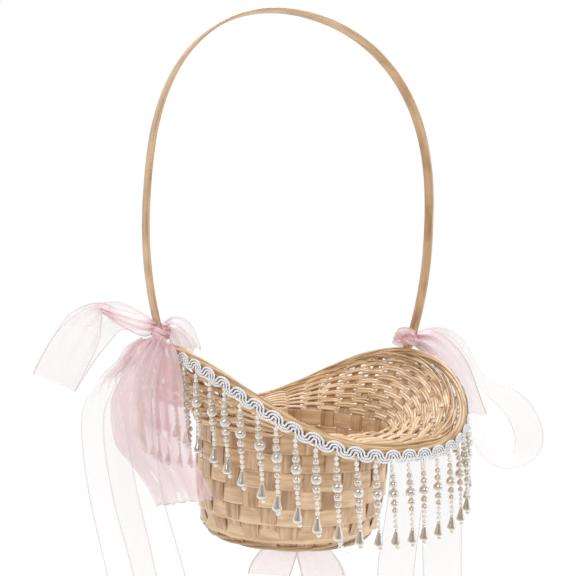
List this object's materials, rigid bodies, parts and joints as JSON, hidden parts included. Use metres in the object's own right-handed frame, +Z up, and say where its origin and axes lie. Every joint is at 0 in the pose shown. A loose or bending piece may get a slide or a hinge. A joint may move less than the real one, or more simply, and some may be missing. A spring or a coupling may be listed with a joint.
{
  "type": "flower girl basket",
  "caption": "Boat-shaped woven basket on a tall bent handle, with gimp braid, a swinging pearl fringe round the rim, organza bows and hanging ribbon tails.",
  "frame": {"origin": "the underside of the handle at the top of its bend, where a hand carries the basket", "axes": "+Z up, +X towards one foot of the handle, +Y towards one low side of the rim"},
  "size_m": [0.4115, 0.253, 0.458],
  "materials": {
    "bamboo": "clear-varnished bent bamboo strip, satin, fine lengthwise grain",
    "splint": "varnished flat bamboo splint, satin, fine lengthwise grain",
    "wicker": "varnished round wicker, satin with glossy crests",
    "braid": "silver-white twisted gimp cord",
    "pearl": "ivory pearlescent imitation pearl, glossy",
    "organza": "sheer pale pink organza ribbon with a soft sheen"
  },
  "bodies": {
    "basket": {"woven_floor": "splint", "base_hoop": "wicker", "lower_wall": "splint", "upper_wall": "wicker", "rim_hoop": "wicker", "handle": "bamboo", "gimp_braid": "braid", "left_bow": "organza", "left_drape": "organza", "right_bow": "organza", "right_drape": "organza", "lower_bow": "organza"},
    "pearl_strands_01": {"pearl_strands_01": "pearl"},
    "pearl_strands_02": {"pearl_strands_02": "pearl"},
    "pearl_strands_03": {"pearl_strands_03": "pearl"},
    "pearl_strands_04": {"pearl_strands_04": "pearl"},
    "pearl_strands_05": {"pearl_strands_05": "pearl"},
    "pearl_strands_06": {"pearl_strands_06": "pearl"},
    "pearl_strands_07": {"pearl_strands_07": "pearl"},
    "pearl_strands_08": {"pearl_strands_08": "pearl"},
    "pearl_strands_09": {"pearl_strands_09": "pearl"},
    "pearl_strands_10": {"pearl_strands_10": "pearl"},
    "pearl_strands_11": {"pearl_strands_11": "pearl"},
    "pearl_strands_12": {"pearl_strands_12": "pearl"},
    "pearl_strands_13": {"pearl_strands_13": "pearl"},
    "pearl_strands_14": {"pearl_strands_14": "pearl"},
    "pearl_strands_15": {"pearl_strands_15": "pearl"},
    "pearl_strands_16": {"pearl_strands_16": "pearl"},
    "pearl_strands_17": {"pearl_strands_17": "pearl"},
    "pearl_strands_18": {"pearl_strands_18": "pearl"},
    "pearl_strands_19": {"pearl_strands_19": "pearl"},
    "pearl_strands_20": {"pearl_strands_20": "pearl"},
    "pearl_strands_21": {"pearl_strands_21": "pearl"},
    "pearl_strands_22": {"pearl_strands_22": "pearl"},
    "pearl_strands_23": {"pearl_strands_23": "pearl"},
    "pearl_strands_24": {"pearl_strands_24": "pearl"},
    "pearl_strands_25": {"pearl_strands_25": "pearl"},
    "pearl_strands_26": {"pearl_strands_26": "pearl"},
    "pearl_strands_27": {"pearl_strands_27": "pearl"},
    "pearl_strands_28": {"pearl_strands_28": "pearl"},
    "pearl_strands_29": {"pearl_strands_29": "pearl"},
    "pearl_strands_30": {"pearl_strands_30": "pearl"},
    "pearl_strands_31": {"pearl_strands_31": "pearl"},
    "left_tail_front": {"left_tail_front": "organza"},
    "left_tail_back": {"left_tail_back": "organza"},
    "right_tail_front": {"right_tail_front": "organza"},
    "right_tail_back": {"right_tail_back": "organza"}
  },
  "joints": [
    {"name": "swing_01", "type": "hinge", "parent": "basket", "child": "pearl_strands_01", "pos_m": [0.11111, 0.01274, -0.25604], "axis": [0.0572, -0.9984, 0], "range_deg": [-12, 5]},
    {"name": "swing_02", "type": "hinge", "parent": "basket", "child": "pearl_strands_02", "pos_m": [0.10792, 0.03776, -0.26014], "axis": [0.1991, -0.98, 0], "range_deg": [-12, 5]},
    {"name": "swing_03", "type": "hinge", "parent": "basket", "child": "pearl_strands_03", "pos_m": [0.10112, 0.06115, -0.26815], "axis": [0.3626, -0.9319, 0], "range_deg": [-12, 5]},
    {"name": "swing_04", "type": "hinge", "parent": "basket", "child": "pearl_strands_04", "pos_m": [0.09049, 0.08204, -0.27879], "axis": [0.545, -0.8384, 0], "range_deg": [-12, 5]},
    {"name": "swing_05", "type": "hinge", "parent": "basket", "child": "pearl_strands_05", "pos_m": [0.07558, 0.09978, -0.2903], "axis": [0.7362, -0.6767, 0], "range_deg": [-12, 35]},
    {"name": "swing_06", "type": "hinge", "parent": "basket", "child": "pearl_strands_06", "pos_m": [0.05579, 0.11324, -0.3004], "axis": [0.8994, -0.4372, 0], "range_deg": [-12, 35]},
    {"name": "swing_07", "type": "hinge", "parent": "basket", "child": "pearl_strands_07", "pos_m": [0.03182, 0.12092, -0.30659], "axis": [0.984, -0.178, 0], "range_deg": [-12, 35]},
    {"name": "swing_08", "type": "hinge", "parent": "basket", "child": "pearl_strands_08", "pos_m": [0.00635, 0.12316, -0.30838], "axis": [0.9999, -0.0146, 0], "range_deg": [-12, 35]},
    {"name": "swing_09", "type": "hinge", "parent": "basket", "child": "pearl_strands_09", "pos_m": [-0.0191, 0.12257, -0.30792], "axis": [0.997, 0.0776, 0], "range_deg": [-12, 35]},
    {"name": "swing_10", "type": "hinge", "parent": "basket", "child": "pearl_strands_10", "pos_m": [-0.04419, 0.11786, -0.3041], "axis": [0.953, 0.3029, 0], "range_deg": [-12, 35]},
    {"name": "swing_11", "type": "hinge", "parent": "basket", "child": "pearl_strands_11", "pos_m": [-0.0663, 0.10714, -0.29569], "axis": [0.8249, 0.5653, 0], "range_deg": [-12, 35]},
    {"name": "swing_12", "type": "hinge", "parent": "basket", "child": "pearl_strands_12", "pos_m": [-0.08361, 0.09136, -0.28456], "axis": [0.641, 0.7675, 0], "range_deg": [-12, 35]},
    {"name": "swing_13", "type": "hinge", "parent": "basket", "child": "pearl_strands_13", "pos_m": [-0.0963, 0.07195, -0.27324], "axis": [0.4517, 0.8922, 0], "range_deg": [-12, 5]},
    {"name": "swing_14", "type": "hinge", "parent": "basket", "child": "pearl_strands_14", "pos_m": [-0.10498, 0.04972, -0.26372], "axis": [0.2783, 0.9605, 0], "range_deg": [-12, 1.5]},
    {"name": "swing_15", "type": "hinge", "parent": "basket", "child": "pearl_strands_15", "pos_m": [-0.10995, 0.02538, -0.25755], "axis": [0.1251, 0.9921, 0], "range_deg": [-12, 1.5]},
    {"name": "swing_16", "type": "hinge", "parent": "basket", "child": "pearl_strands_16", "pos_m": [-0.11147, 0, -0.25555], "axis": [0, 1, 0], "range_deg": [-12, 1.5]},
    {"name": "swing_17", "type": "hinge", "parent": "basket", "child": "pearl_strands_17", "pos_m": [-0.10995, -0.02538, -0.25755], "axis": [-0.1251, 0.9921, 0], "range_deg": [-12, 1.5]},
    {"name": "swing_18", "type": "hinge", "parent": "basket", "child": "pearl_strands_18", "pos_m": [-0.10498, -0.04972, -0.26372], "axis": [-0.2783, 0.9605, 0], "range_deg": [-12, 1.5]},
    {"name": "swing_19", "type": "hinge", "parent": "basket", "child": "pearl_strands_19", "pos_m": [-0.0963, -0.07195, -0.27324], "axis": [-0.4517, 0.8922, 0], "range_deg": [-12, 5]},
    {"name": "swing_20", "type": "hinge", "parent": "basket", "child": "pearl_strands_20", "pos_m": [-0.08361, -0.09136, -0.28456], "axis": [-0.641, 0.7675, 0], "range_deg": [-12, 35]},
    {"name": "swing_21", "type": "hinge", "parent": "basket", "child": "pearl_strands_21", "pos_m": [-0.0663, -0.10714, -0.29569], "axis": [-0.8249, 0.5653, 0], "range_deg": [-12, 35]},
    {"name": "swing_22", "type": "hinge", "parent": "basket", "child": "pearl_strands_22", "pos_m": [-0.04419, -0.11786, -0.3041], "axis": [-0.953, 0.3029, 0], "range_deg": [-12, 35]},
    {"name": "swing_23", "type": "hinge", "parent": "basket", "child": "pearl_strands_23", "pos_m": [-0.0191, -0.12257, -0.30792], "axis": [-0.997, 0.0776, 0], "range_deg": [-12, 35]},
    {"name": "swing_24", "type": "hinge", "parent": "basket", "child": "pearl_strands_24", "pos_m": [0.00635, -0.12316, -0.30838], "axis": [-0.9999, -0.0146, 0], "range_deg": [-12, 35]},
    {"name": "swing_25", "type": "hinge", "parent": "basket", "child": "pearl_strands_25", "pos_m": [0.03182, -0.12092, -0.30659], "axis": [-0.984, -0.178, 0], "range_deg": [-12, 35]},
    {"name": "swing_26", "type": "hinge", "parent": "basket", "child": "pearl_strands_26", "pos_m": [0.05579, -0.11324, -0.3004], "axis": [-0.8994, -0.4372, 0], "range_deg": [-12, 35]},
    {"name": "swing_27", "type": "hinge", "parent": "basket", "child": "pearl_strands_27", "pos_m": [0.07558, -0.09978, -0.2903], "axis": [-0.7362, -0.6767, 0], "range_deg": [-12, 35]},
    {"name": "swing_28", "type": "hinge", "parent": "basket", "child": "pearl_strands_28", "pos_m": [0.09049, -0.08204, -0.27879], "axis": [-0.545, -0.8384, 0], "range_deg": [-12, 5]},
    {"name": "swing_29", "type": "hinge", "parent": "basket", "child": "pearl_strands_29", "pos_m": [0.10112, -0.06115, -0.26815], "axis": [-0.3626, -0.9319, 0], "range_deg": [-12, 5]},
    {"name": "swing_30", "type": "hinge", "parent": "basket", "child": "pearl_strands_30", "pos_m": [0.10792, -0.03776, -0.26014], "axis": [-0.1991, -0.98, 0], "range_deg": [-12, 5]},
    {"name": "swing_31", "type": "hinge", "parent": "basket", "child": "pearl_strands_31", "pos_m": [0.11111, -0.01274, -0.25604], "axis": [-0.0572, -0.9984, 0], "range_deg": [-12, 5]},
    {"name": "left_tail_front_swing", "type": "hinge", "parent": "basket", "child": "left_tail_front", "pos_m": [-0.1177, -0.00996, -0.24], "axis": [-0.8299, 0.5579, 0], "range_deg": [0, 20]},
    {"name": "left_tail_back_swing", "type": "hinge", "parent": "basket", "child": "left_tail_back", "pos_m": [-0.12014, 0.00253, -0.242], "axis": [0.5579, 0.8299, 0], "range_deg": [0, 15]},
    {"name": "right_tail_front_swing", "type": "hinge", "parent": "basket", "child": "right_tail_front", "pos_m": [0.11876, -0.0028, -0.246], "axis": [-0.5579, -0.8299, 0], "range_deg": [0, 8]},
    {"name": "right_tail_back_swing", "type": "hinge", "parent": "basket", "child": "right_tail_back", "pos_m": [0.11795, 0.00497, -0.245], "axis": [0.8299, -0.5579, 0], "range_deg": [0, 20]}
  ]
}
